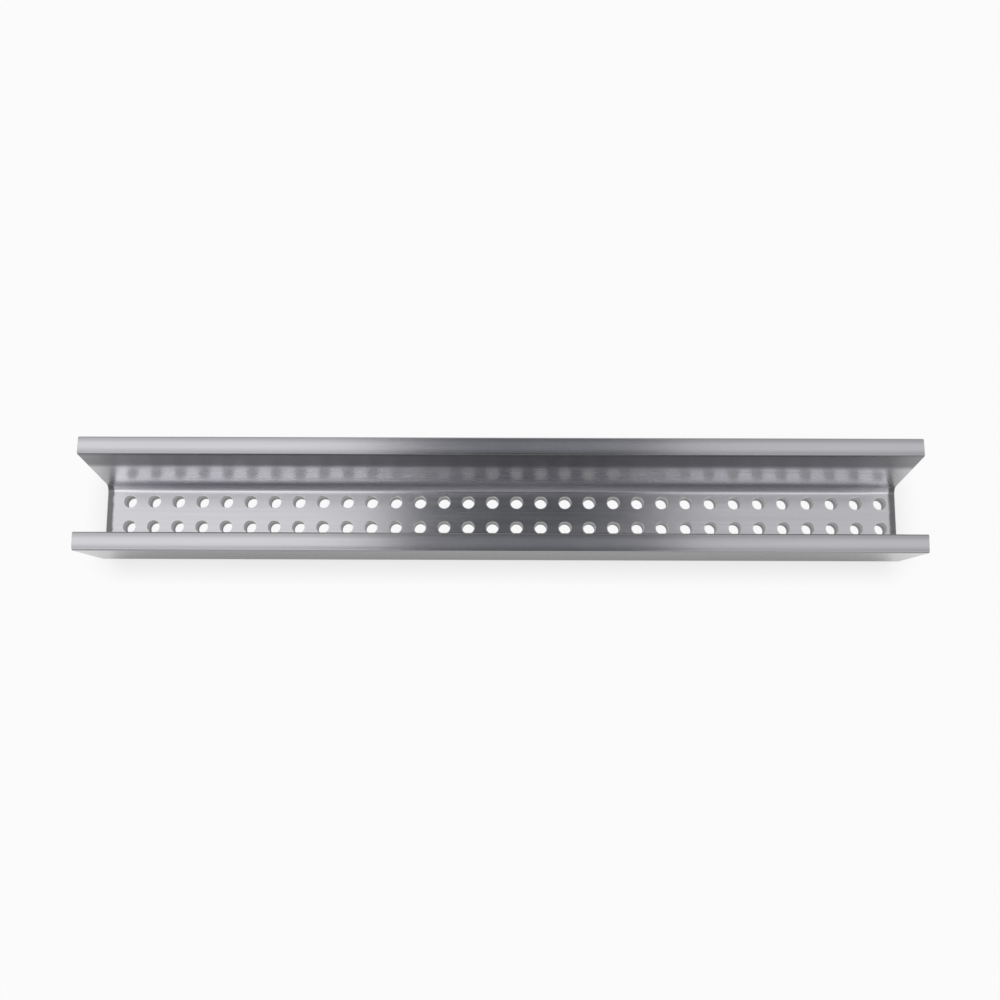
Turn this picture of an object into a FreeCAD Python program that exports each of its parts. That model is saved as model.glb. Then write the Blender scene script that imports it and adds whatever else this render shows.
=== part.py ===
import FreeCAD, Part
import math
import os
import Sketcher
from FreeCAD import Vector

# A thick-walled C-channel, bent from one plate, with two rows of round holes through its web.
# It lies on the back of its web with the open side up. X runs along the channel, Y across it,
# and the origin is the middle of the web's back. All sizes are in millimetres.

SIZES = {
    "channel_length": 326.0,
    "channel_depth": 53.0,
    "web_flat_width": 17.5,
    "wall": 7.2,
    "splay_angle": 4.3,
    "bend_radius": 3.2,
    "toe_edge_radius": 0.8,
    "hole_diameter": 5.0,
    "hole_pitch": 10.0,
    "hole_to_bend": 1.0,
    "first_hole_margin": 9.6,
    "least_last_margin": 6.0,
}


def make_sheet(doc):
    sheet = doc.addObject("Spreadsheet::Sheet", "Sizes")
    for row, (name, value) in enumerate(SIZES.items(), start=1):
        sheet.set(f"A{row}", name)
        sheet.set(f"B{row}", str(value))
        sheet.setAlias(f"B{row}", name)
    doc.recompute()
    return sheet


def origin_feature(body, role):
    return next(feature for feature in body.Origin.OriginFeatures if feature.Role == role)


def sketch_on(body, name, role):
    sketch = body.newObject("Sketcher::SketchObject", name)
    sketch.AttachmentSupport = [(origin_feature(body, role), "")]
    sketch.MapMode = "FlatFace"
    return sketch


def dimension(sketch, name, expression, *constraint):
    """Adds a driving dimension to a sketch and ties it to the sheet."""
    index = sketch.addConstraint(Sketcher.Constraint(*constraint))
    sketch.renameConstraint(index, name)
    sketch.setExpression(f"Constraints.{name}", expression)


def arc_through(centre, radius, start_angle, end_angle):
    circle = Part.Circle(centre, Vector(0, 0, 1), radius)
    return Part.ArcOfCircle(circle, start_angle, end_angle)


def draw_profile(sketch, sizes):
    """The closed outline of the bent wall: sketch x is across the channel, sketch y is up."""
    splay = math.radians(sizes["splay_angle"])
    inner_radius = sizes["bend_radius"]
    outer_radius = inner_radius + sizes["wall"]
    up = Vector(math.sin(splay), math.cos(splay), 0)
    out = Vector(math.cos(splay), -math.sin(splay), 0)

    # Both faces of a bend turn about one centre, and the toe's inner corner is the channel's top.
    centre = Vector(sizes["web_flat_width"] / 2, outer_radius, 0)
    web_outer = Vector(centre.x, 0, 0)
    web_inner = Vector(centre.x, sizes["wall"], 0)
    heel = centre + out * outer_radius
    bend = centre + out * inner_radius
    toe_inner = bend + up * ((sizes["channel_depth"] - bend.y) / math.cos(splay))
    toe_outer = toe_inner + out * sizes["wall"]

    def mirrored(point):
        return Vector(-point.x, point.y, 0)

    # Each flange face runs upwards and each web face runs towards +x.
    outer_right = sketch.addGeometry(Part.LineSegment(heel, toe_outer))
    heel_right = sketch.addGeometry(arc_through(centre, outer_radius, -math.pi / 2, -splay))
    web_back = sketch.addGeometry(Part.LineSegment(mirrored(web_outer), web_outer))
    heel_left = sketch.addGeometry(
        arc_through(mirrored(centre), outer_radius, math.pi + splay, 1.5 * math.pi))
    outer_left = sketch.addGeometry(Part.LineSegment(mirrored(heel), mirrored(toe_outer)))
    toe_left = sketch.addGeometry(Part.LineSegment(mirrored(toe_outer), mirrored(toe_inner)))
    inner_left = sketch.addGeometry(Part.LineSegment(mirrored(bend), mirrored(toe_inner)))
    bend_left = sketch.addGeometry(
        arc_through(mirrored(centre), inner_radius, math.pi + splay, 1.5 * math.pi))
    web_front = sketch.addGeometry(Part.LineSegment(mirrored(web_inner), web_inner))
    bend_right = sketch.addGeometry(arc_through(centre, inner_radius, -math.pi / 2, -splay))
    inner_right = sketch.addGeometry(Part.LineSegment(bend, toe_inner))
    toe_right = sketch.addGeometry(Part.LineSegment(toe_inner, toe_outer))

    start, end, middle = 1, 2, 3
    x_axis, y_axis, origin = -1, -2, (-1, 1)

    # The straight runs meet the bends smoothly.
    for line, line_end, arc, arc_end in (
            (outer_right, start, heel_right, end),
            (web_back, end, heel_right, start),
            (web_back, start, heel_left, end),
            (outer_left, start, heel_left, start),
            (inner_right, start, bend_right, end),
            (web_front, end, bend_right, start),
            (web_front, start, bend_left, end),
            (inner_left, start, bend_left, start)):
        sketch.addConstraint(Sketcher.Constraint("Tangent", line, line_end, arc, arc_end))
    for first, first_end, second, second_end in (
            (outer_left, end, toe_left, start),
            (toe_left, end, inner_left, end),
            (inner_right, end, toe_right, start),
            (toe_right, end, outer_right, end),
            (heel_right, middle, bend_right, middle),
            (heel_left, middle, bend_left, middle)):
        sketch.addConstraint(Sketcher.Constraint("Coincident", first, first_end, second, second_end))

    # The web lies level on the x axis, the toes are square to their flanges, and both sides match.
    sketch.addConstraint(Sketcher.Constraint("Horizontal", web_back))
    sketch.addConstraint(Sketcher.Constraint("Horizontal", web_front))
    sketch.addConstraint(Sketcher.Constraint("PointOnObject", web_back, start, x_axis))
    sketch.addConstraint(Sketcher.Constraint("Parallel", outer_right, inner_right))
    sketch.addConstraint(Sketcher.Constraint("Perpendicular", toe_right, inner_right))
    for right, left, point in (
            (outer_right, outer_left, end),
            (inner_right, inner_left, end),
            (heel_right, heel_left, middle)):
        sketch.addConstraint(
            Sketcher.Constraint("Symmetric", right, point, left, point, y_axis))

    dimension(sketch, "wall", "Sizes.wall",
              "DistanceY", web_back, start, web_front, start, sizes["wall"])
    dimension(sketch, "bend_radius", "Sizes.bend_radius", "Radius", bend_right, inner_radius)
    dimension(sketch, "lean", "90 - Sizes.splay_angle", "Angle", outer_right, math.pi / 2 - splay)
    dimension(sketch, "depth", "Sizes.channel_depth",
              "DistanceY", *origin, inner_right, end, toe_inner.y)
    dimension(sketch, "web_flat", "Sizes.web_flat_width",
              "DistanceX", web_back, start, web_back, end, sizes["web_flat_width"])


def add_bar(body, sizes):
    """The plain channel, before its holes: the outline run along X about the middle."""
    profile = sketch_on(body, "Profile", "YZ_Plane")
    draw_profile(profile, sizes)
    bar = body.newObject("PartDesign::Pad", "Bar")
    bar.Profile = profile
    bar.Midplane = True
    bar.setExpression("Length", "Sizes.channel_length")
    body.Document.recompute()
    return bar


def long_toe_edges(bar, sizes):
    """The four edges along the two toes, by their direction and height."""
    lowest_toe = sizes["channel_depth"] - sizes["wall"]
    names = []
    for number, edge in enumerate(bar.Shape.Edges, start=1):
        box = edge.BoundBox
        along = abs(box.XLength - bar.Length.Value) < 0.001
        if along and box.ZMin > lowest_toe:
            names.append(f"Edge{number}")
    return names


def add_toe_rounding(body, bar, sizes):
    """The slightly rounded long edges of the two toes."""
    rounding = body.newObject("PartDesign::Fillet", "ToeEdges")
    rounding.Base = (bar, long_toe_edges(bar, sizes))
    rounding.setExpression("Radius", "Sizes.toe_edge_radius")
    body.Document.recompute()
    return rounding


def draw_hole_plan(plan, sizes):
    """One hole of each row, at the first column: each circle just clears the bend beside it."""
    first_x = sizes["channel_length"] / 2 - sizes["first_hole_margin"]
    first_x_rule = "Sizes.channel_length / 2 - Sizes.first_hole_margin"
    row_y = (sizes["web_flat_width"] - sizes["hole_diameter"]) / 2 - sizes["hole_to_bend"]
    row_y_rule = "(Sizes.web_flat_width - Sizes.hole_diameter) / 2 - Sizes.hole_to_bend"
    origin = (-1, 1)
    for row, side in (("near", -1), ("far", 1)):
        circle = Part.Circle(Vector(-first_x, side * row_y, 0), Vector(0, 0, 1), sizes["hole_diameter"] / 2)
        hole = plan.addGeometry(circle)
        centre = (hole, 3)
        dimension(plan, f"{row}_x", first_x_rule, "DistanceX", *centre, *origin, first_x)
        upwards = (*origin, *centre) if side > 0 else (*centre, *origin)
        dimension(plan, f"{row}_y", row_y_rule, "DistanceY", *upwards, row_y)
        dimension(plan, f"{row}_bore", "Sizes.hole_diameter", "Diameter", hole, sizes["hole_diameter"])


def add_holes(body, sizes):
    """Two rows of round holes through the flat of the web, in even columns from the first end."""
    plan = sketch_on(body, "HolePlan", "XY_Plane")
    draw_hole_plan(plan, sizes)
    column = body.newObject("PartDesign::Pocket", "HoleColumn")
    column.Profile = plan
    column.Reversed = True
    column.setExpression("Length", "Sizes.wall")
    body.Document.recompute()

    columns = body.newObject("PartDesign::LinearPattern", "HoleColumns")
    columns.Originals = [column]
    columns.Direction = (origin_feature(body, "X_Axis"), [""])
    columns.Mode = "Spacing"
    columns.setExpression("Offset", "Sizes.hole_pitch")
    room = "Sizes.channel_length - Sizes.first_hole_margin - Sizes.least_last_margin"
    columns.setExpression("Occurrences", f"floor(({room}) / Sizes.hole_pitch) + 1")
    body.Tip = columns
    body.Document.recompute()
    return columns


def check_holes(solid_bar, columns, sizes):
    """Every hole takes its own cylinder out of the web."""
    cut = solid_bar.Shape.Volume - columns.Shape.Volume
    one_hole = math.pi / 4 * sizes["hole_diameter"] ** 2 * sizes["wall"]
    expected = 2 * columns.Occurrences * one_hole
    if abs(cut - expected) > 0.001 * expected:
        raise RuntimeError(f"the holes took {cut:.1f} cubic mm, not {expected:.1f}")


def check_document(doc):
    for item in doc.Objects:
        bad = [state for state in item.State if state in ("Invalid", "Error")]
        if bad:
            raise RuntimeError(f"{item.Label} is {bad[0]}")


def write_part(body):
    shape = body.Shape
    if shape.isNull() or not shape.isValid():
        raise RuntimeError(f"{body.Label} has no valid solid")
    shape.exportStep(os.path.join("parts", f"{body.Label}.step"))


def main():
    doc = FreeCAD.newDocument("CChannel")
    sheet = make_sheet(doc)
    sizes = {name: float(sheet.get(name)) for name in SIZES}

    body = doc.addObject("PartDesign::Body", "channel")
    body.Label = "channel"
    body.Placement = FreeCAD.Placement()
    bar = add_bar(body, sizes)
    rounded = add_toe_rounding(body, bar, sizes)
    columns = add_holes(body, sizes)

    doc.recompute()
    check_document(doc)
    check_holes(rounded, columns, sizes)
    os.makedirs("parts", exist_ok=True)
    write_part(body)
    box = body.Shape.BoundBox
    print(f"channel: {box.XLength:.2f} x {box.YLength:.2f} x {box.ZLength:.2f} mm, "
          f"{2 * columns.Occurrences} holes, {body.Shape.Volume / 1000:.1f} cubic cm")


main()
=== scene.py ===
import math

import bmesh
import bpy
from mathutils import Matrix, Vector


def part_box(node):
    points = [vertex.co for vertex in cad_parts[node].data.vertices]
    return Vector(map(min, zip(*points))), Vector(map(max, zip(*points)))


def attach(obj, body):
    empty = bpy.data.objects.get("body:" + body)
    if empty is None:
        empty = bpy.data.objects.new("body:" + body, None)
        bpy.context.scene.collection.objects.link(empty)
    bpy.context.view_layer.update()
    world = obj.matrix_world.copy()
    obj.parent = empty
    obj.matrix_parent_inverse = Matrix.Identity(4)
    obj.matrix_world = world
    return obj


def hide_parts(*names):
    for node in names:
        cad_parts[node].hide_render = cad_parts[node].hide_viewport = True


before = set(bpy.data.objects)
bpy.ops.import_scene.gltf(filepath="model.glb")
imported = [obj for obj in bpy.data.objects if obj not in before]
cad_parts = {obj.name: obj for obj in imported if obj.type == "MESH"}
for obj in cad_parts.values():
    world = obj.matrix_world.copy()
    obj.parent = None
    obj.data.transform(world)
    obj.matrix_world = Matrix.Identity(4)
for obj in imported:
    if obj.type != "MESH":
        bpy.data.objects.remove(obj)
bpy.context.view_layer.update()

MM = 0.001

# The channel's own sizes, in metres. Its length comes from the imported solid.
LOW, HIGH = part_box("channel")
LENGTH = HIGH.x - LOW.x
DEPTH = 53.0 * MM
WEB_FLAT = 17.5 * MM
WALL = 7.2 * MM
SPLAY = math.radians(4.3)
BEND_RADIUS = 3.2 * MM
HEEL_RADIUS = BEND_RADIUS + WALL
TOE_EDGE = 0.8 * MM
HOLE_RADIUS = 2.5 * MM
HOLE_PITCH = 10.0 * MM
HOLE_TO_BEND = 1.0 * MM
HOLE_ROW_Y = WEB_FLAT / 2 - HOLE_TO_BEND - HOLE_RADIUS
HOLE_COLUMNS = 32
FIRST_HOLE_X = LOW.x + 9.6 * MM
# Where the flanges' straight inner faces would meet the plane of the web's back.
INNER_FACE_Y = WEB_FLAT / 2 + BEND_RADIUS / math.cos(SPLAY) - HEEL_RADIUS * math.tan(SPLAY)
TOE_MIDDLE_Y = INNER_FACE_Y + DEPTH * math.tan(SPLAY) + WALL / 2 * math.cos(SPLAY)

# Small edge breaks that the saw and the punch leave. A hole's lip opens in two steps, each given
# by its rise and its flare in lips.
END_BREAK = 0.25 * MM
END_BREAK_STEPS = 2
END_BREAK_ANGLE = math.radians(40)
HOLE_LIP = 0.22 * MM
HOLE_LIP_STEPS = ((0.7, 0.3), (0.9, 2.1))

# Faceting and shading of the round stretches.
HEEL_STEPS = 20
TOE_STEPS = 4
HOLE_SIDES = 40
SMOOTH_ANGLE = math.radians(30)

# Bare metal, in linear colour: the rolled face's two tones, its lines, a fresh cut (also laid as a
# painted highlight round the holes), a torn edge, the furrows of the saw, the dark line at the
# web's ends, and painted shade for the band below the far toe and the toes' edges.
METAL_DARK = (0.765, 0.762, 0.793)
METAL_LIGHT = (0.885, 0.881, 0.914)
METAL_LINE = (0.64, 0.637, 0.66)
METAL_CUT = (0.89, 0.887, 0.905)
METAL_TORN = (0.62, 0.617, 0.63)
METAL_SAWN = (0.56, 0.557, 0.57)
# The dark line across the web at each end.
METAL_END_LINE = (0.17, 0.168, 0.172)
# Painted shade, laid on the band below the far toe and along the toes' edges.
METAL_PAINTED_SHADE = (0.27, 0.268, 0.28)

# How strongly each mark covers the colour below it.
LINE_SHARE = 0.3
BROAD_LINE_SHARE = 0.35
# Painted shade along the toes' edges: the darkening away from their middle, and on their rounding.
TOE_FALL_SHADE_SHARE = 0.45
TOE_ROUNDING_SHADE_SHARE = 0.4
# Painted shade in the band inside the far flange, below its toe.
SHADE_BAND_SHARE = 0.85
SCRATCH_SHARE = 0.45
# Painted highlight in the ring round each hole.
RIM_HIGHLIGHT_SHARE = 0.25
END_LINE_SHARE = 0.85
TORN_SHARE = 0.8

# The metal's own roughness, and what each mark adds to it.
ROUGHNESS = 0.17
SHADE_BAND_ROUGHNESS = 0.16
BEND_ROUGHNESS = 0.34
FLANGE_ROUGHNESS = 0.1
SCRATCH_ROUGHNESS = 0.12
END_LINE_ROUGHNESS = 0.25
SAWN_ROUGHNESS = 0.12
PUNCHED_ROUGHNESS = 0.04
TORN_ROUGHNESS = 0.22

# The rolled faces' patterns. Each has its grain along X, Y and Z, its detail, and the spread
# of roughness and of height that it brings.
ROLLED_PATTERNS = {
    "lines": ((70 * MM, 0.32 * MM, 0.32 * MM), 3.0, 0.08, 0.011 * MM),
    "broad_lines": ((140 * MM, 1.3 * MM, 1.3 * MM), 2.0, 0.1, 0.01 * MM),
    "clouds": ((38 * MM, 14 * MM, 14 * MM), 4.0, 0.12, 0.03 * MM),
    "grain": ((0.9 * MM, 0.6 * MM, 0.6 * MM), 2.0, 0.05, 0.0012 * MM),
}
# Two sets of scratches, each with its turn in degrees and its grain, and the patches they lie in.
SCRATCH_SETS = (
    ((0, 10, 24), (34 * MM, 0.16 * MM, 0.16 * MM)),
    ((8, -18, -37), (22 * MM, 0.13 * MM, 0.13 * MM)))
SCRATCH_FROM, SCRATCH_FULL = 0.7, 0.77
SCRATCH_DEPTH = 0.003 * MM
HANDLED_GRAIN = (60 * MM, 30 * MM, 30 * MM)
HANDLED_FROM, HANDLED_FULL = 0.45, 0.7
# The saw's marks are arcs about the blade's middle, off to one side of the channel.
BLADE_Y, BLADE_Z = -95 * MM, 140 * MM
SAW_GRAIN = (0.5 * MM, 60 * MM, 1.0)
SAW_FROM, SAW_FULL = 0.3, 0.7
SAW_DEPTH = 0.025 * MM
# The streaks down a punched wall, and the height at which it turns from torn to sheared.
STREAK_GRAIN = (0.22 * MM, 0.22 * MM, 4 * MM)
STREAK_DEPTH = 0.03 * MM
TORN_WANDER = 1.2 * MM
TORN_TOP, SHEARED_FOOT = 0.52 * WALL, 0.6 * WALL
# Width of the painted highlight round each hole.
RIM_HIGHLIGHT_WIDTH = 0.7 * MM
# The dark line that runs across the web at each end, and how far its inner edge wanders.
END_LINE = 2.6 * MM
END_LINE_BLUR = 0.6 * MM
END_LINE_TOP = 12 * MM
END_LINE_GRAIN = (2.5 * MM, 2.5 * MM, 2.5 * MM)
END_LINE_WANDER = 1.2 * MM
# The band of painted shade inside the far flange, below its toe.
SHADE_BAND_FOOT = 33 * MM
SHADE_BAND_BLUR = 7 * MM

# The studio, in metres. Most of the floor is its own white, with a painted contact shadow in it:
# in reflections it darkens within the contact shadow reach, and seen directly it is shaded within
# the shade reach.
FLOOR_SIZE = 8.0
FLOOR_Z = -0.03 * MM
BACKDROP_HEIGHT = 1.6
BACKDROP_BEND = 0.6
BACKDROP_STEPS = 8
FLOOR_COLOUR = (0.88, 0.88, 0.88)
FLOOR_OWN_WHITE = 0.93
CONTACT_SHADOW_REACH = 0.07
CONTACT_SHADOW_FALL = 1.7
CONTACT_SHADOW_DARKEST = 0.185
CONTACT_SHADOW_BELOW_HOLES = 0.36
SHADE_REACH = 0.012
SHADE_SHARE = 0.3
# The boxes and the card hang level over the channel. A level is a box's brightness, given for
# its front and for the rest of it.
BOX_HEIGHT = 0.78
BOX_WIDTH = 0.9
BOX_NEAR, BOX_FRONT, BOX_FAR = -0.85, -0.2, 1.05
LEFT_LEVELS = (0.88, 0.523)
RIGHT_LEVELS = (0.66, 0.318)
CARD_X = 0.022
CARD_WIDTH = 0.256
CARD_COLOUR = (0.178, 0.182, 0.196)
CARD_DARK = (0.075, 0.078, 0.084)
CARD_DARK_Y = 0.13
CARD_DARK_CORE, CARD_DARK_REACH = 0.04, 0.1
CARD_FRONT_Y = -0.08
CARD_FRONT_BLUR = 0.05
ROOM_COLOUR = (0.30, 0.301, 0.31)

# The camera looks almost straight down, tipped back towards the near side.
CAMERA_PLACE = (3.4 * MM, -105.9 * MM, 591.3 * MM)
CAMERA_TURN = (10.88, 0.313, 0.24)
CAMERA_LENS = 51.70
CAMERA_SENSOR = 36
CAMERA_CLIP = 0.01


def deselect_all():
    bpy.ops.object.select_all(action="DESELECT")


def make_active(obj):
    deselect_all()
    obj.select_set(True)
    bpy.context.view_layer.objects.active = obj


def begin_edit(obj, picks="EDGE"):
    make_active(obj)
    bpy.ops.object.mode_set(mode="EDIT")
    bpy.ops.mesh.select_mode(type=picks)
    bpy.ops.mesh.select_all(action="DESELECT")


def end_edit():
    bpy.ops.object.mode_set(mode="OBJECT")


def pick_edges(obj, wanted):
    """Selects only the edges of the mesh in edit mode whose two ends pass the test."""
    bpy.ops.mesh.select_all(action="DESELECT")
    shape = bmesh.from_edit_mesh(obj.data)
    for edge in shape.edges:
        if wanted(*[vertex.co for vertex in edge.verts]):
            edge.select_set(True)
    bmesh.update_edit_mesh(obj.data)


def pick_faces(obj, wanted):
    """Selects only the faces of the mesh in edit mode whose normal passes the test."""
    bpy.ops.mesh.select_all(action="DESELECT")
    shape = bmesh.from_edit_mesh(obj.data)
    for face in shape.faces:
        if wanted(face.normal):
            face.select_set(True)
    bmesh.update_edit_mesh(obj.data)


def apply_modifier(obj, kind, **settings):
    modifier = obj.modifiers.new(kind.title(), kind)
    for name, value in settings.items():
        setattr(modifier, name, value)
    make_active(obj)
    bpy.ops.object.modifier_apply(modifier=modifier.name)


def add_skin():
    """The outer skin of the bent plate: the web's back, both flanges and the two heel bends."""
    bend_turn = math.pi / 2 - SPLAY
    bend_reach = HEEL_RADIUS * math.tan(bend_turn / 2)
    corner_y = WEB_FLAT / 2 + bend_reach
    flange_rise = DEPTH - WALL * math.sin(SPLAY)

    deselect_all()
    bpy.ops.mesh.primitive_plane_add(size=1)
    skin = bpy.context.object
    skin.name = "channel_plate"
    begin_edit(skin)
    bpy.ops.mesh.select_all(action="SELECT")
    bpy.ops.transform.resize(value=(LENGTH, 2 * corner_y, 1))
    for side in (-1, 1):
        pick_edges(skin, lambda a, b: min(side * a.y, side * b.y) > corner_y - MM)
        fold_out = side * flange_rise * math.tan(SPLAY)
        bpy.ops.mesh.extrude_region_move(
            TRANSFORM_OT_translate={"value": (0, fold_out, flange_rise)})
    pick_edges(skin, lambda a, b: a.z == 0 and b.z == 0 and abs(a.y - b.y) < MM)
    bpy.ops.mesh.bevel(offset=bend_reach, segments=HEEL_STEPS, affect="EDGES")
    end_edit()
    return skin


def thicken(plate):
    """Gives the skin its wall, which grows inwards, then rounds the toes and breaks the ends."""
    apply_modifier(plate, "SOLIDIFY", thickness=WALL, offset=1, use_even_offset=True)
    begin_edit(plate)
    toe_low = DEPTH - WALL
    pick_edges(plate, lambda a, b: min(a.z, b.z) > toe_low and abs(a.x - b.x) > LENGTH / 2)
    bpy.ops.mesh.bevel(offset=TOE_EDGE, segments=TOE_STEPS, affect="EDGES")
    end_edit()
    apply_modifier(plate, "BEVEL", width=END_BREAK, segments=END_BREAK_STEPS,
                   limit_method="ANGLE", angle_limit=END_BREAK_ANGLE)


def add_punch():
    """A grid of round cutters, each flared where it breaks through the web's two faces."""
    deselect_all()
    bpy.ops.mesh.primitive_cylinder_add(vertices=HOLE_SIDES, radius=HOLE_RADIUS,
                                        depth=WALL - 2 * HOLE_LIP, location=(0, 0, WALL / 2))
    punch = bpy.context.object
    bpy.ops.object.transform_apply(location=True)
    begin_edit(punch, picks="FACE")
    for side in (-1, 1):
        pick_faces(punch, lambda normal: side * normal.z > 0.9)
        for rise, flare in HOLE_LIP_STEPS:
            grow = 1 + flare * HOLE_LIP / HOLE_RADIUS
            bpy.ops.mesh.extrude_region_move(
                TRANSFORM_OT_translate={"value": (0, 0, side * rise * HOLE_LIP)})
            bpy.ops.transform.resize(value=(grow, grow, 1), center_override=(0, 0, 0))
    end_edit()
    begin_edit(punch)
    bpy.ops.mesh.select_all(action="SELECT")
    bpy.ops.transform.translate(value=(FIRST_HOLE_X, -HOLE_ROW_Y, 0))
    end_edit()
    for count, step in ((HOLE_COLUMNS, (HOLE_PITCH, 0, 0)), (2, (0, 2 * HOLE_ROW_Y, 0))):
        apply_modifier(punch, "ARRAY", count=count, use_relative_offset=False,
                       use_constant_offset=True, constant_offset_displace=step)
    return punch


def make_channel():
    plate = add_skin()
    thicken(plate)
    punch = add_punch()
    apply_modifier(plate, "BOOLEAN", operation="DIFFERENCE", solver="EXACT", object=punch)
    bpy.data.objects.remove(punch)
    make_active(plate)
    bpy.ops.object.shade_smooth_by_angle(angle=SMOOTH_ANGLE)
    apply_modifier(plate, "WEIGHTED_NORMAL", weight=100, keep_sharp=True)
    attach(plate, "root")
    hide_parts("channel")
    return plate


class Wire:
    """One output in a node tree. An expression on it adds the tree's Math nodes."""

    def __init__(self, bench, socket):
        self.bench = bench
        self.socket = socket

    def beside(self, name):
        """Another output of the same node."""
        return Wire(self.bench, self.socket.node.outputs[name])

    def __add__(self, other):
        return self.bench.math("ADD", self, other)

    def __sub__(self, other):
        return self.bench.math("SUBTRACT", self, other)

    def __rsub__(self, other):
        return self.bench.math("SUBTRACT", other, self)

    def __mul__(self, other):
        return self.bench.math("MULTIPLY", self, other)

    def __truediv__(self, other):
        return self.bench.math("DIVIDE", self, other)

    def __pow__(self, other):
        return self.bench.math("POWER", self, other)

    def __lt__(self, other):
        return self.bench.math("LESS_THAN", self, other)

    def __gt__(self, other):
        return self.bench.math("GREATER_THAN", self, other)

    def __abs__(self):
        return self.bench.math("ABSOLUTE", self)

    __radd__ = __add__
    __rmul__ = __mul__


class Bench:
    """Builds one material's or the world's nodes."""

    def __init__(self, tree):
        self.tree = tree
        tree.nodes.clear()

    def node(self, kind, settings, sockets, output=0):
        made = self.tree.nodes.new(kind)
        for name, value in settings.items():
            setattr(made, name, value)
        for key, value in sockets.items():
            if isinstance(value, Wire):
                self.tree.links.new(value.socket, made.inputs[key])
            else:
                made.inputs[key].default_value = value
        return Wire(self, made.outputs[output]) if made.outputs else made

    def math(self, operation, *values):
        return self.node("ShaderNodeMath", {"operation": operation}, dict(enumerate(values)))

    def place(self):
        """Where a point lies on its object."""
        return self.node("ShaderNodeTexCoord", {}, {}, output="Object")

    def split(self, place):
        """The X, Y and Z of a place."""
        x = self.node("ShaderNodeSeparateXYZ", {}, {0: place})
        return x, x.beside("Y"), x.beside("Z")

    def join(self, x, y, z=0.0):
        return self.node("ShaderNodeCombineXYZ", {}, {"X": x, "Y": y, "Z": z})

    def blend_colours(self, amount, first, second):
        """The first colour at 0 and the second at 1. Each is a wire or a plain (r, g, b)."""
        ends = [colour if isinstance(colour, Wire) else (*colour, 1) for colour in (first, second)]
        return self.node("ShaderNodeMix", {"data_type": "RGBA"},
                         {0: amount, 6: ends[0], 7: ends[1]}, output=2)

    def ease(self, value, low, high):
        """0 below low, 1 above high, and a smooth rise between."""
        return self.node("ShaderNodeMapRange", {"interpolation_type": "SMOOTHSTEP"},
                         {"Value": value, "From Min": low, "From Max": high})

    def noise(self, place, grain, detail=2.0, turn=(0, 0, 0)):
        """Noise from 0 to 1 with this grain along X, Y and Z, after a turn in degrees."""
        turned = self.node("ShaderNodeMapping", {"vector_type": "POINT"},
                           {"Vector": place, "Rotation": [math.radians(angle) for angle in turn]})
        stretched = self.node("ShaderNodeVectorMath", {"operation": "DIVIDE"},
                              {0: turned, 1: grain})
        return self.node("ShaderNodeTexNoise", {"noise_dimensions": "3D"},
                         {"Vector": stretched, "Scale": 1.0, "Detail": detail, "Roughness": 0.55})


def new_bench(name):
    material = bpy.data.materials.new(name)
    material.use_nodes = True
    return material, Bench(material.node_tree)


def nearest_hole(bench, x, y):
    """The way to a point from the middle of the nearest hole, along X and Y and in all."""
    column = (x - FIRST_HOLE_X) / HOLE_PITCH
    nearest = bench.math("MAXIMUM", bench.math("ROUND", column), 0)
    nearest = bench.math("MINIMUM", nearest, HOLE_COLUMNS - 1)
    along = (column - nearest) * HOLE_PITCH
    across = abs(y) - HOLE_ROW_Y
    return along, across, (along * along + across * across) ** 0.5


def end_lines(bench, place):
    """The dark line across the web at each end, on the inner faces only."""
    x, y, z = bench.split(place)
    wander = (bench.noise(place, END_LINE_GRAIN) - 0.5) * END_LINE_WANDER
    edge = LENGTH / 2 - END_LINE
    line = bench.ease(abs(x) + wander, edge - END_LINE_BLUR, edge + END_LINE_BLUR)
    from_inner_face = abs(y) - z * math.tan(SPLAY) - INNER_FACE_Y
    low_down = 1 - bench.ease(z, 0.7 * END_LINE_TOP, END_LINE_TOP)
    return line * low_down * (z > 0.5 * WALL) * (from_inner_face < 0.3 * WALL)


def toe_edge_shade(bench, y, z):
    """Painted shade along the toes' long edges: a soft darkening away from the middle, and a darker
    rounding.
    """
    from_middle = abs(abs(y) - TOE_MIDDLE_Y)
    fall_shade = bench.ease(from_middle, 0.08 * WALL, 0.4 * WALL) * TOE_FALL_SHADE_SHARE
    rounding_shade = bench.ease(from_middle, 0.4 * WALL, 0.46 * WALL) * TOE_ROUNDING_SHADE_SHARE
    return (fall_shade + rounding_shade) * (z > DEPTH - 0.25 * WALL)


def handling_scratches(bench, place):
    """Fine scratches in two directions, gathered in patches."""
    scratches = 0.0
    for turn, grain in SCRATCH_SETS:
        streaks = bench.noise(place, grain, turn=turn)
        scratches = bench.ease(streaks, SCRATCH_FROM, SCRATCH_FULL) + scratches
    return scratches * bench.ease(bench.noise(place, HANDLED_GRAIN), HANDLED_FROM, HANDLED_FULL)


def saw_arcs(bench, x, y, z):
    across, up = y - BLADE_Y, z - BLADE_Z
    blade_reach = (across * across + up * up) ** 0.5
    arcs = bench.noise(bench.join(blade_reach, x), SAW_GRAIN, detail=3.0)
    return bench.ease(arcs, SAW_FROM, SAW_FULL)


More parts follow.
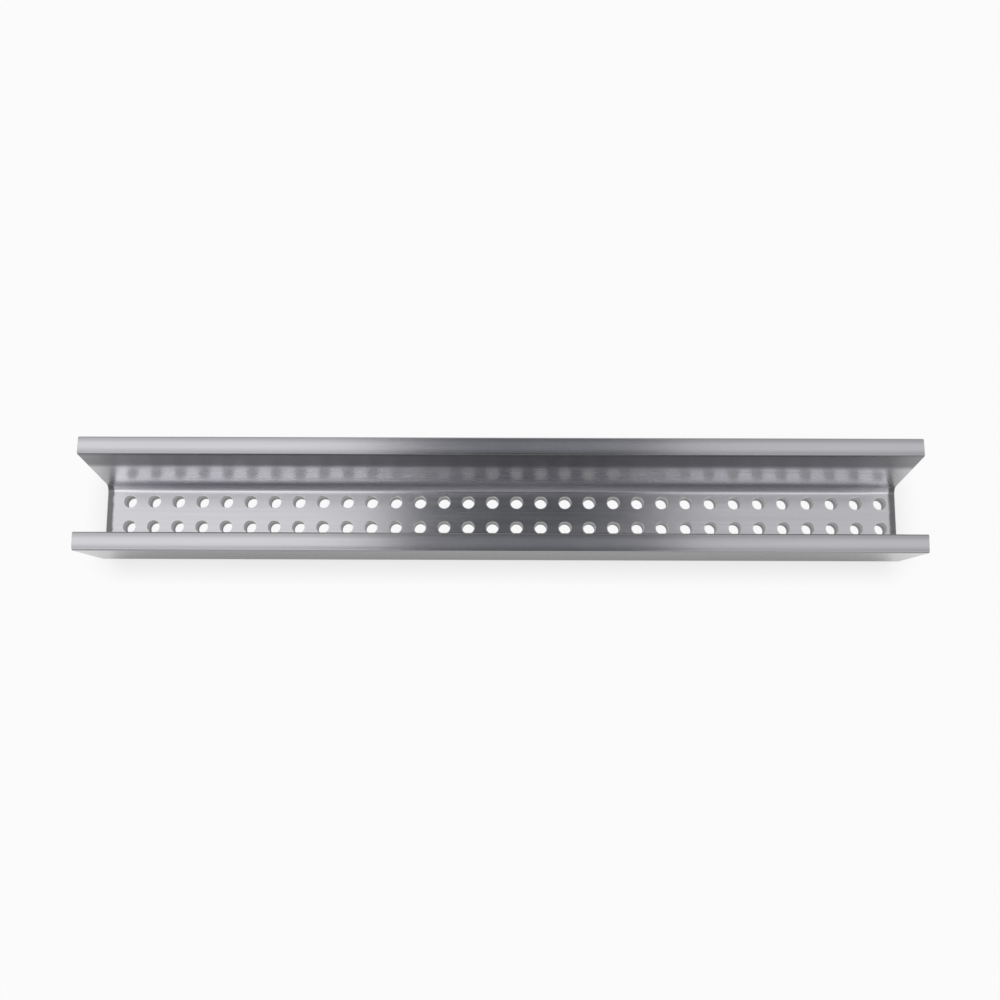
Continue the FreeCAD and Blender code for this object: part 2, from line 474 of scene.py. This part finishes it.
def mill_finish():
    """Bare rolled metal with lengthwise lines and light scratches, sawn at the ends and punched."""
    material, bench = new_bench("mill_finish_metal")
    place = bench.place()
    x, y, z = bench.split(place)

    # Where the surface is sawn, where it is the wall of a punched hole, and the ring round each
    # hole that gets a painted highlight.
    sawn = bench.ease(abs(x), LENGTH / 2 - END_BREAK, LENGTH / 2 - 0.4 * END_BREAK)
    hole_x, hole_y, from_hole = nearest_hole(bench, x, y)
    in_web = z < WALL + 0.1 * MM
    lip_edge = HOLE_RADIUS + HOLE_LIP
    punched = (1 - bench.ease(from_hole, HOLE_RADIUS + 0.2 * HOLE_LIP, lip_edge)) * in_web
    rim_highlight = (1 - bench.ease(from_hole, lip_edge, HOLE_RADIUS + RIM_HIGHLIGHT_WIDTH)) * in_web

    # Inside the flanges, above the bends: a little matt, and painted shade with more roughness
    # below the far toe.
    on_inner_face = abs(abs(y) - z * math.tan(SPLAY) - INNER_FACE_Y) < 0.3 * MM
    flange = on_inner_face * (1 - sawn)
    shade_band = bench.ease(z, SHADE_BAND_FOOT, SHADE_BAND_FOOT + SHADE_BAND_BLUR) * flange * (y > 0)
    above_bend = bench.ease(z, HEEL_RADIUS - 0.8 * MM, HEEL_RADIUS + 0.5 * MM)
    bend = bench.ease(abs(y), WEB_FLAT / 2 + 0.8 * MM, WEB_FLAT / 2 + 2 * MM)
    bend = bend * (1 - above_bend) * (1 - sawn)
    end_line = end_lines(bench, place) * (1 - sawn)

    # Punched walls have a bright sheared band above a dull torn one, both streaked downwards.
    streaks = bench.noise(bench.join(hole_x, hole_y, z), STREAK_GRAIN, detail=3.0)
    torn = 1 - bench.ease(z + (streaks - 0.5) * TORN_WANDER, TORN_TOP, SHEARED_FOOT)

    roughness, height, patterns = ROUGHNESS, 0.0, {}
    for name, (grain, detail, matt, rise) in ROLLED_PATTERNS.items():
        patterns[name] = bench.noise(place, grain, detail=detail)
        roughness = roughness + (patterns[name] - 0.5) * matt
        height = height + (patterns[name] - 0.5) * rise
    scratches = handling_scratches(bench, place)
    saw_marks = saw_arcs(bench, x, y, z)

    lined = patterns["lines"] * LINE_SHARE + patterns["broad_lines"] * BROAD_LINE_SHARE
    rolled = bench.blend_colours(patterns["clouds"], METAL_DARK, METAL_LIGHT)
    rolled = bench.blend_colours(lined, rolled, METAL_LINE)
    # Painted shade: the band below the far toe and the toes' edges.
    rolled = bench.blend_colours(shade_band * SHADE_BAND_SHARE + toe_edge_shade(bench, y, z), rolled, METAL_PAINTED_SHADE)
    rolled = bench.blend_colours(scratches * SCRATCH_SHARE, rolled, METAL_CUT)
    # Painted highlight round each hole.
    rolled = bench.blend_colours(rim_highlight * RIM_HIGHLIGHT_SHARE, rolled, METAL_CUT)
    rolled = bench.blend_colours(end_line * END_LINE_SHARE, rolled, METAL_END_LINE)
    sawn_face = bench.blend_colours(saw_marks, METAL_SAWN, METAL_CUT)
    hole_wall = bench.blend_colours(torn * TORN_SHARE, METAL_CUT, METAL_TORN)
    colour = bench.blend_colours(punched, bench.blend_colours(sawn, rolled, sawn_face), hole_wall)

    roughness = (roughness + scratches * SCRATCH_ROUGHNESS + shade_band * SHADE_BAND_ROUGHNESS
                 + bend * BEND_ROUGHNESS + above_bend * flange * FLANGE_ROUGHNESS
                 + end_line * END_LINE_ROUGHNESS + sawn * SAWN_ROUGHNESS
                 + punched * (torn * TORN_ROUGHNESS + PUNCHED_ROUGHNESS))

    on_rolled_face = 1 - bench.node("ShaderNodeClamp", {}, {"Value": sawn + punched})
    height = ((height - scratches * SCRATCH_DEPTH) * on_rolled_face
              + sawn * (saw_marks - 0.5) * SAW_DEPTH + punched * (streaks - 0.5) * STREAK_DEPTH)
    bump = bench.node("ShaderNodeBump", {}, {"Strength": 1.0, "Distance": 1.0, "Height": height})

    metal = bench.node("ShaderNodeBsdfPrincipled", {}, {
        "Base Color": colour, "Metallic": 1.0, "Roughness": roughness, "Normal": bump})
    bench.node("ShaderNodeOutputMaterial", {}, {"Surface": metal})
    return material


def open_sky(bench, reach, samples):
    """1 where nothing stands within reach of the floor, and less where something does."""
    return bench.node("ShaderNodeAmbientOcclusion", {"samples": samples}, {"Distance": reach},
                      output="AO")


def white_floor():
    """The floor's own white for what is seen of it, and plain lit white for the light it gives.
    A shadow is painted into its own white close to the channel. Below the web that painted
    shadow is lighter in reflections, where light comes down through the holes, and not there at all
    when seen directly."""
    material, bench = new_bench("floor_white")
    x, y, _ = bench.split(bench.place())
    below_web = (abs(x) < LENGTH / 2) * (abs(y) < WEB_FLAT / 2)
    darkest = CONTACT_SHADOW_DARKEST + below_web * (CONTACT_SHADOW_BELOW_HOLES - CONTACT_SHADOW_DARKEST)
    # Painted contact shadow: the floor's own white darkens where something stands near.
    unshadowed = open_sky(bench, CONTACT_SHADOW_REACH, samples=8) ** CONTACT_SHADOW_FALL
    unshadowed = bench.math("MAXIMUM", unshadowed, darkest)
    shade = (1 - open_sky(bench, SHADE_REACH, samples=4)) * (1 - below_web) * SHADE_SHARE

    camera = bench.node("ShaderNodeLightPath", {}, {}, output="Is Camera Ray")
    glossy = camera.beside("Is Glossy Ray")
    seen = bench.math("MAXIMUM", bench.math("MAXIMUM", camera, glossy),
                      camera.beside("Is Transmission Ray"))
    painted_shadow = glossy * (1 - unshadowed) + (1 - glossy) * shade
    own_white = bench.blend_colours(painted_shadow, (1, 1, 1), (0, 0, 0))
    white = bench.node("ShaderNodeEmission", {}, {"Color": own_white, "Strength": 1.0})
    lit = bench.node("ShaderNodeBsdfDiffuse", {}, {"Color": (*FLOOR_COLOUR, 1)})
    surface = bench.node("ShaderNodeMixShader", {}, {0: seen * FLOOR_OWN_WHITE, 1: lit, 2: white})
    bench.node("ShaderNodeOutputMaterial", {}, {"Surface": surface})
    return material


def make_floor():
    """A plain floor that sweeps up all round."""
    deselect_all()
    bpy.ops.mesh.primitive_plane_add(size=FLOOR_SIZE, location=(0, 0, FLOOR_Z))
    floor = bpy.context.object
    floor.name = "floor"
    begin_edit(floor)
    bpy.ops.mesh.select_all(action="SELECT")
    bpy.ops.mesh.extrude_edges_move(TRANSFORM_OT_translate={"value": (0, 0, BACKDROP_HEIGHT)})
    pick_edges(floor, lambda a, b: a.z == 0 and b.z == 0)
    bpy.ops.mesh.bevel(offset=BACKDROP_BEND, segments=BACKDROP_STEPS, affect="EDGES")
    end_edit()
    bpy.ops.object.transform_apply(location=True)
    bpy.ops.object.shade_smooth()
    floor.data.materials.append(white_floor())


def hang_box(side, start, end, level):
    """One stretch of a soft box, left or right of the card, at this brightness."""
    data = bpy.data.lights.new("soft_box", "AREA")
    data.shape = "RECTANGLE"
    data.size = BOX_WIDTH
    data.size_y = end - start
    data.energy = level * math.pi * data.size * data.size_y
    box = bpy.data.objects.new("soft_box", data)
    box.location = (CARD_X + side * (CARD_WIDTH + BOX_WIDTH) / 2, (start + end) / 2, BOX_HEIGHT)
    bpy.context.scene.collection.objects.link(box)


def card_grey():
    """A dark grey, darker still in a core over the channel and towards the front."""
    material, bench = new_bench("card_grey")
    _, y, _ = bench.split(bench.place())
    core = 1 - bench.ease(abs(y - CARD_DARK_Y), CARD_DARK_CORE, CARD_DARK_REACH)
    front = 1 - bench.ease(y, CARD_FRONT_Y - CARD_FRONT_BLUR, CARD_FRONT_Y + CARD_FRONT_BLUR)
    colour = bench.blend_colours(core + front, CARD_COLOUR, CARD_DARK)
    grey = bench.node("ShaderNodeEmission", {}, {"Color": colour, "Strength": 1.0})
    bench.node("ShaderNodeOutputMaterial", {}, {"Surface": grey})
    return material


def make_studio():
    """Two soft boxes left and right of a dark card over the middle, and a plain grey room."""
    for side, (front_level, back_level) in ((-1, LEFT_LEVELS), (1, RIGHT_LEVELS)):
        hang_box(side, BOX_NEAR, BOX_FRONT, front_level)
        hang_box(side, BOX_FRONT, BOX_FAR, back_level)

    deselect_all()
    bpy.ops.mesh.primitive_plane_add(
        size=1, location=(CARD_X, (BOX_NEAR + BOX_FAR) / 2, BOX_HEIGHT))
    card = bpy.context.object
    card.name = "dark_card"
    card.scale = (CARD_WIDTH, BOX_FAR - BOX_NEAR, 1)
    bpy.ops.object.transform_apply(location=True, scale=True)
    card.visible_camera = False
    card.visible_diffuse = False
    card.data.materials.append(card_grey())

    world = bpy.data.worlds.new("studio")
    bpy.context.scene.world = world
    world.use_nodes = True
    bench = Bench(world.node_tree)
    room = bench.node("ShaderNodeBackground", {}, {"Color": (*ROOM_COLOUR, 1), "Strength": 1.0})
    bench.node("ShaderNodeOutputWorld", {}, {"Surface": room})


def make_camera():
    """The photograph's viewpoint: above the channel, a little in front, looking almost down."""
    data = bpy.data.cameras.new("view")
    data.lens = CAMERA_LENS
    data.sensor_width = CAMERA_SENSOR
    data.clip_start = CAMERA_CLIP
    camera = bpy.data.objects.new("view", data)
    camera.location = CAMERA_PLACE
    camera.rotation_euler = [math.radians(angle) for angle in CAMERA_TURN]
    bpy.context.scene.collection.objects.link(camera)
    bpy.context.scene.camera = camera


channel = make_channel()
channel.data.materials.clear()
channel.data.materials.append(mill_finish())
make_floor()
make_studio()
make_camera()
bpy.context.scene.view_settings.view_transform = "Standard"
